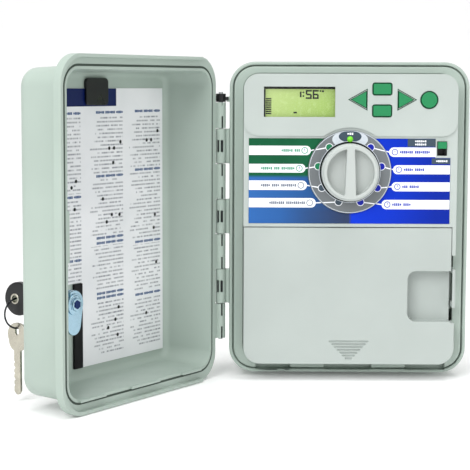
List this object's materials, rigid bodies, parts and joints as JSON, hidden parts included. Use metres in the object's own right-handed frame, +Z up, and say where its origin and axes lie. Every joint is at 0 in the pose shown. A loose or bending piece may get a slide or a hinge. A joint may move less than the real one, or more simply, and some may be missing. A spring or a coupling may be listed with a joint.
{
  "type": "irrigation controller",
  "caption": "Wall-mounted irrigation controller with a hinged lockable plastic enclosure, programme dial, display, push buttons, wiring cover and keys.",
  "frame": {"origin": "centre of the flat back face that lies on the wall", "axes": "+Y into the wall, +Z up, +X to the right seen from the front"},
  "size_m": [0.3135, 0.2035, 0.2254],
  "materials": {
    "enclosure_plastic": "moulded, fine satin grain",
    "fascia_plastic": "moulded, satin",
    "steel": "plated steel",
    "zinc": "zinc plated, slightly blue",
    "nickel": "nickel plated brass, handled",
    "black_plastic": "black moulded plastic",
    "printed_label": "printed film",
    "ring_print": "dark grey, satin",
    "window": "clear",
    "lcd": "yellow-green liquid crystal panel",
    "white_plastic": "white",
    "board": "green solder mask",
    "led": "green lens",
    "terminal_plastic": "green",
    "winding": "yellow tape over copper",
    "ribbon": "grey",
    "gasket_rubber": "black foam rubber",
    "card": "printed plastic card",
    "foam": "black foam",
    "ring_wire": "dark steel wire",
    "button_rubber": "green silicone rubber"
  },
  "bodies": {
    "root": {"back_housing": "enclosure_plastic", "hinge_pin": "steel", "hinge_pin_cap": "black_plastic", "face_pack": "fascia_plastic", "dial_label": "printed_label", "dial_ring": "ring_print", "lcd_window": "window", "lcd_panel": "lcd", "lcd_holder": "white_plastic", "circuit_board": "board", "rotary_switch": "black_plastic", "tact_switches": "black_plastic", "bypass_switch": "black_plastic", "run_led": "led", "battery_holder": "black_plastic", "coin_battery": "steel", "lock_strike": "fascia_plastic", "face_pack_screws": "steel", "terminal_board": "board", "terminal_block": "terminal_plastic", "terminal_screws": "steel", "transformer_core": "steel", "transformer_coil": "winding", "transformer_bracket": "steel", "transformer_screws": "steel", "sensor_hole_plug": "black_plastic", "ribbon_cable": "ribbon"},
    "door": {"door_shell": "enclosure_plastic", "door_gasket": "gasket_rubber", "instruction_card": "card", "card_clip": "black_plastic", "lock_foam": "foam", "lock_barrel": "zinc", "lock_nut": "zinc"},
    "lock": {"lock_plug": "zinc", "lock_cam": "zinc", "cam_nut": "zinc"},
    "key": {"key_blade": "nickel", "key_head": "black_plastic"},
    "ring": {"key_ring": "ring_wire"},
    "spare": {"spare_key": "nickel"},
    "cover": {"wiring_cover": "fascia_plastic"},
    "dial": {"dial_knob": "fascia_plastic", "dial_shaft": "fascia_plastic"},
    "up": {"button_up": "button_rubber"},
    "down": {"button_down": "button_rubber"},
    "left": {"button_left": "button_rubber"},
    "right": {"button_right": "button_rubber"},
    "program": {"button_program": "button_rubber"},
    "bypass": {"bypass_slider": "button_rubber"}
  },
  "joints": [
    {"name": "door_hinge", "type": "hinge", "parent": "root", "child": "door", "pos_m": [-0.0902, -0.0533, 0], "axis": [0, 0, -1], "range_deg": [-123, 42]},
    {"name": "lock_turn", "type": "hinge", "parent": "door", "child": "lock", "pos_m": [-0.16985, -0.1765, -0.045], "axis": [-0.8387, 0.5446, 0], "range_deg": [0, 90]},
    {"name": "key_pull", "type": "slide", "parent": "lock", "child": "key", "axis": [-0.8387, 0.5446, 0], "range_m": [0, 0.03]},
    {"name": "ring_swing", "type": "hinge", "parent": "key", "child": "ring", "pos_m": [-0.22067, -0.14349, -0.045], "axis": [-0.5446, -0.8387, 0], "range_deg": [-60, 8]},
    {"name": "spare_swing", "type": "hinge", "parent": "ring", "child": "spare", "pos_m": [-0.22067, -0.14349, -0.0646], "axis": [-0.5446, -0.8387, 0], "range_deg": [-60, 14]},
    {"name": "cover_slide", "type": "slide", "parent": "root", "child": "cover", "axis": [0, 0, -1], "range_m": [0, 0.1]},
    {"name": "dial_turn", "type": "hinge", "parent": "root", "child": "dial", "pos_m": [-0.0005, -0.08, 0.034], "axis": [0, -1, 0], "continuous": true},
    {"name": "button_up_press", "type": "slide", "parent": "root", "child": "up", "axis": [0, 1, 0], "range_m": [0, 0.001], "stiffness_N_per_m": 300},
    {"name": "button_down_press", "type": "slide", "parent": "root", "child": "down", "axis": [0, 1, 0], "range_m": [0, 0.001], "stiffness_N_per_m": 300},
    {"name": "button_left_press", "type": "slide", "parent": "root", "child": "left", "axis": [0, 1, 0], "range_m": [0, 0.001], "stiffness_N_per_m": 300},
    {"name": "button_right_press", "type": "slide", "parent": "root", "child": "right", "axis": [0, 1, 0], "range_m": [0, 0.001], "stiffness_N_per_m": 300},
    {"name": "button_program_press", "type": "slide", "parent": "root", "child": "program", "axis": [0, 1, 0], "range_m": [0, 0.001], "stiffness_N_per_m": 300},
    {"name": "bypass_switch_slide", "type": "slide", "parent": "root", "child": "bypass", "axis": [0, 0, -1], "range_m": [0, 0.0042]}
  ]
}
